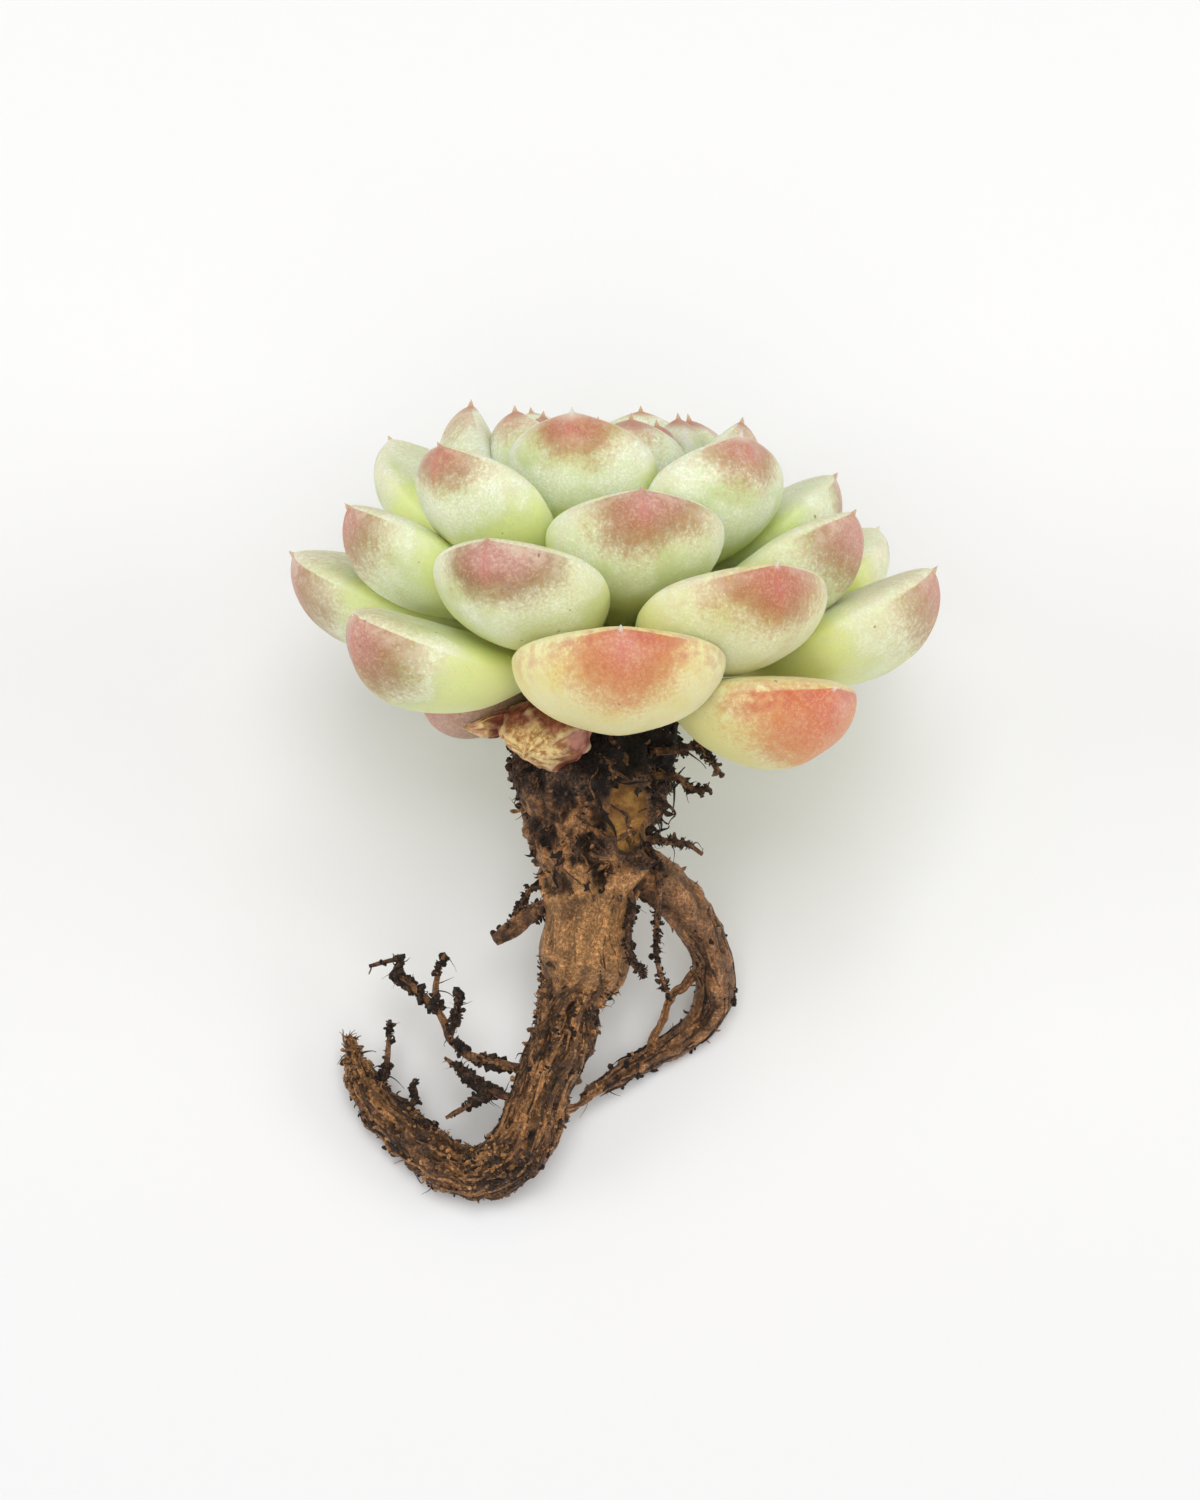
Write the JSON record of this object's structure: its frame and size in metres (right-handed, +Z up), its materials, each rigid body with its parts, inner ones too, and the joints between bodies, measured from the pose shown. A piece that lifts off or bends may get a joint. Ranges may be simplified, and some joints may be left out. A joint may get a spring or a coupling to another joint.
{
  "type": "bare-root echeveria",
  "caption": "Bare-rooted echeveria lying on a surface: a rosette of plump, blushed leaves on a short woody stem with a bent main root, a looping side root and fine rootlets.",
  "frame": {"origin": "on the surface the plant lies on, under the middle of its bounding box", "axes": "+Z up from the surface; +Y from the root end toward the rosette; +X to the right of someone facing along +Y"},
  "size_m": [0.065, 0.0792, 0.0544],
  "materials": {
    "leaf": "powdery pale green, blushed pink toward the point",
    "sunned_leaf": "powdery yellow-green flushed orange and coral",
    "withered_leaf": "dry, wrinkled, golden brown",
    "bark": "rough, flaky brown bark with clinging peat",
    "root": "rough dark brown"
  },
  "bodies": {
    "root": {"fine_root_1": "root", "fine_root_2": "root", "fine_root_3": "root", "fine_root_4": "root", "leaf_01": "sunned_leaf", "leaf_02": "leaf", "leaf_03": "leaf", "leaf_04": "sunned_leaf", "leaf_05": "leaf", "leaf_06": "leaf", "leaf_07": "leaf", "leaf_08": "leaf", "leaf_09": "leaf", "leaf_10": "leaf", "leaf_11": "leaf", "leaf_12": "leaf", "leaf_13": "leaf", "leaf_14": "leaf", "leaf_15": "leaf", "leaf_16": "leaf", "leaf_17": "leaf", "leaf_18": "leaf", "leaf_19": "leaf", "leaf_20": "leaf", "leaf_21": "leaf", "leaf_22": "leaf", "leaf_23": "leaf", "leaf_24": "leaf", "leaf_25": "leaf", "leaf_26": "leaf", "leaf_27": "leaf", "leaf_28": "leaf", "leaf_29": "leaf", "leaf_30": "leaf", "leaf_31": "leaf", "leaf_32": "leaf", "leaf_33": "leaf", "leaf_34": "leaf", "leaf_35": "leaf", "leaf_36": "leaf", "leaf_37": "leaf", "leaf_38": "leaf", "leaf_39": "leaf", "leaf_40": "leaf", "rootlet_1": "root", "rootlet_2": "root", "rootlet_3": "root", "rootlet_4": "root", "rootlet_5": "root", "side_root": "root", "stem_main_root": "bark", "stub_root": "root", "withered_leaf_1": "withered_leaf", "withered_leaf_2": "withered_leaf"}
  },
  "joints": []
}
